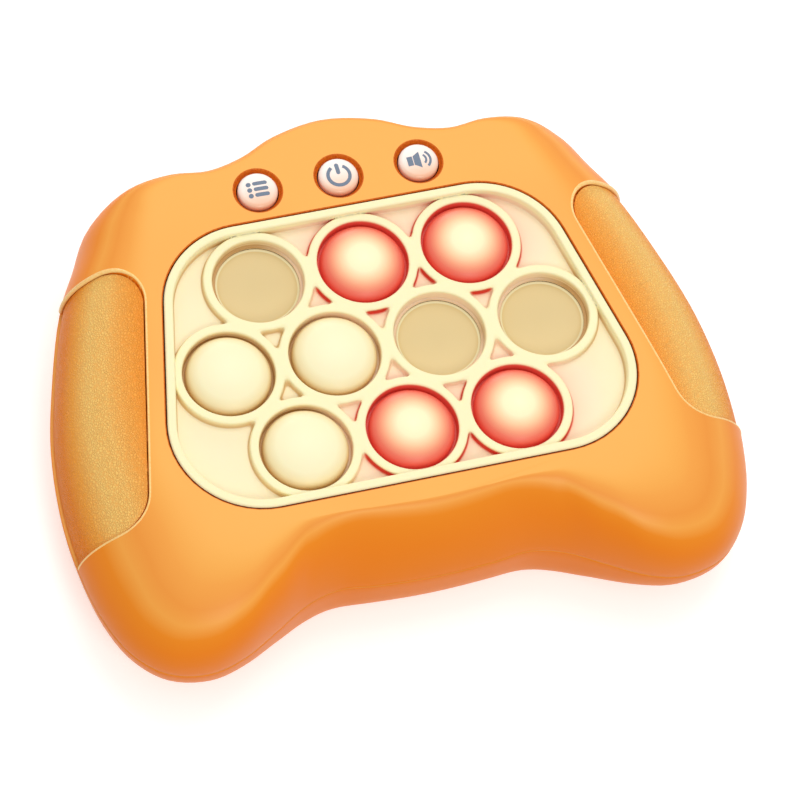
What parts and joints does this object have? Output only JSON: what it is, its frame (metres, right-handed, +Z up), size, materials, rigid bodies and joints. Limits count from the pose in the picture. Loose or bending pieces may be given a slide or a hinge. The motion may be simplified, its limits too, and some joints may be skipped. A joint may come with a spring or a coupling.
{
  "type": "electronic bubble pop game",
  "caption": "Hand-held electronic bubble pop game: a horned clamshell case with a silicone mat of light-up pop bubbles, push buttons at the back, textured side grips and a battery door.",
  "frame": {"origin": "under the middle of the case, on the flat belly that it rests on", "axes": "+X to the right of a player who holds the horns, +Y away from the player, +Z up through the bubbles"},
  "size_m": [0.1666, 0.1293, 0.038],
  "materials": {
    "case_plastic": "smooth moulded orange plastic with a soft satin shine",
    "grip_plastic": "orange plastic with a fine pebble grain",
    "mat_silicone": "soft cream silicone, smooth and slightly translucent",
    "lit_silicone": "cream silicone lit red from below",
    "tan_silicone": "cream silicone in shade, pressed in",
    "button_plastic": "smooth translucent white plastic",
    "light_plastic": "plain white moulded plastic",
    "circuit_board": "green solder mask over glass fibre board",
    "switch_plastic": "plain black moulded plastic",
    "speaker_metal": "black painted basket and magnet",
    "steel": "plain zinc plated steel",
    "cell_jacket": "plain grey printed film over a metal can",
    "red_wire": "red wire insulation",
    "black_wire": "black wire insulation",
    "ribbon_grey": "grey flat cable"
  },
  "bodies": {
    "case": {"top_shell": "case_plastic", "bottom_shell": "case_plastic", "left_grip": "grip_plastic", "right_grip": "grip_plastic", "bubble_mat": "mat_silicone", "light_frame": "light_plastic", "main_board": "circuit_board", "button_board": "circuit_board", "switch_back_left": "switch_plastic", "switch_back_centre": "switch_plastic", "switch_back_right": "switch_plastic", "switch_middle_far_left": "switch_plastic", "switch_middle_left": "switch_plastic", "switch_middle_right": "switch_plastic", "switch_middle_far_right": "switch_plastic", "switch_front_left": "switch_plastic", "switch_front_centre": "switch_plastic", "switch_front_right": "switch_plastic", "menu_switch": "switch_plastic", "power_switch": "switch_plastic", "sound_switch": "switch_plastic", "speaker": "speaker_metal", "case_screw_horn_left": "steel", "case_screw_horn_right": "steel", "case_screw_side_left": "steel", "case_screw_side_right": "steel", "case_screw_back_left": "steel", "case_screw_back_right": "steel", "panel_screw_front_left": "steel", "panel_screw_front_right": "steel", "panel_screw_back_left": "steel", "panel_screw_back_right": "steel", "negative_contact": "steel", "left_contact": "steel", "right_contact": "steel", "positive_contact": "steel", "battery_1": "cell_jacket", "battery_2": "cell_jacket", "battery_3": "cell_jacket", "speaker_lead_red": "red_wire", "battery_lead_red": "red_wire", "speaker_lead_black": "black_wire", "battery_lead_black": "black_wire", "board_ribbon": "ribbon_grey"},
    "bubble_back_left": {"bubble_back_left": "tan_silicone"},
    "bubble_back_centre": {"bubble_back_centre": "lit_silicone"},
    "bubble_back_right": {"bubble_back_right": "lit_silicone"},
    "bubble_middle_far_left": {"bubble_middle_far_left": "mat_silicone"},
    "bubble_middle_left": {"bubble_middle_left": "mat_silicone"},
    "bubble_middle_right": {"bubble_middle_right": "tan_silicone"},
    "bubble_middle_far_right": {"bubble_middle_far_right": "tan_silicone"},
    "bubble_front_left": {"bubble_front_left": "mat_silicone"},
    "bubble_front_centre": {"bubble_front_centre": "lit_silicone"},
    "bubble_front_right": {"bubble_front_right": "lit_silicone"},
    "menu_button": {"menu_button": "button_plastic"},
    "power_button": {"power_button": "button_plastic"},
    "sound_button": {"sound_button": "button_plastic"},
    "battery_door": {"battery_door": "case_plastic", "door_screw": "steel"}
  },
  "joints": [
    {"name": "back_left_pop", "type": "slide", "parent": "case", "child": "bubble_back_left", "axis": [0, 0, 1], "range_m": [0, 0.0064]},
    {"name": "back_centre_pop", "type": "slide", "parent": "case", "child": "bubble_back_centre", "axis": [0, 0, 1], "range_m": [-0.0064, 0]},
    {"name": "back_right_pop", "type": "slide", "parent": "case", "child": "bubble_back_right", "axis": [0, 0, 1], "range_m": [-0.0064, 0]},
    {"name": "middle_far_left_pop", "type": "slide", "parent": "case", "child": "bubble_middle_far_left", "axis": [0, 0, 1], "range_m": [-0.0064, 0]},
    {"name": "middle_left_pop", "type": "slide", "parent": "case", "child": "bubble_middle_left", "axis": [0, 0, 1], "range_m": [-0.0064, 0]},
    {"name": "middle_right_pop", "type": "slide", "parent": "case", "child": "bubble_middle_right", "axis": [0, 0, 1], "range_m": [0, 0.0064]},
    {"name": "middle_far_right_pop", "type": "slide", "parent": "case", "child": "bubble_middle_far_right", "axis": [0, 0, 1], "range_m": [0, 0.0064]},
    {"name": "front_left_pop", "type": "slide", "parent": "case", "child": "bubble_front_left", "axis": [0, 0, 1], "range_m": [-0.0064, 0]},
    {"name": "front_centre_pop", "type": "slide", "parent": "case", "child": "bubble_front_centre", "axis": [0, 0, 1], "range_m": [-0.0064, 0]},
    {"name": "front_right_pop", "type": "slide", "parent": "case", "child": "bubble_front_right", "axis": [0, 0, 1], "range_m": [-0.0064, 0]},
    {"name": "menu_push", "type": "slide", "parent": "case", "child": "menu_button", "axis": [0, 0, 1], "range_m": [-0.0008, 0], "stiffness_N_per_m": 600, "springref_m": 0.0005},
    {"name": "power_push", "type": "slide", "parent": "case", "child": "power_button", "axis": [0, 0, 1], "range_m": [-0.0008, 0], "stiffness_N_per_m": 600, "springref_m": 0.0005},
    {"name": "sound_push", "type": "slide", "parent": "case", "child": "sound_button", "axis": [0, 0, 1], "range_m": [-0.0008, 0], "stiffness_N_per_m": 600, "springref_m": 0.0005},
    {"name": "door_swing", "type": "hinge", "parent": "case", "child": "battery_door", "pos_m": [0, 0.039, 0], "axis": [1, 0, 0], "range_deg": [0, 40]}
  ]
}
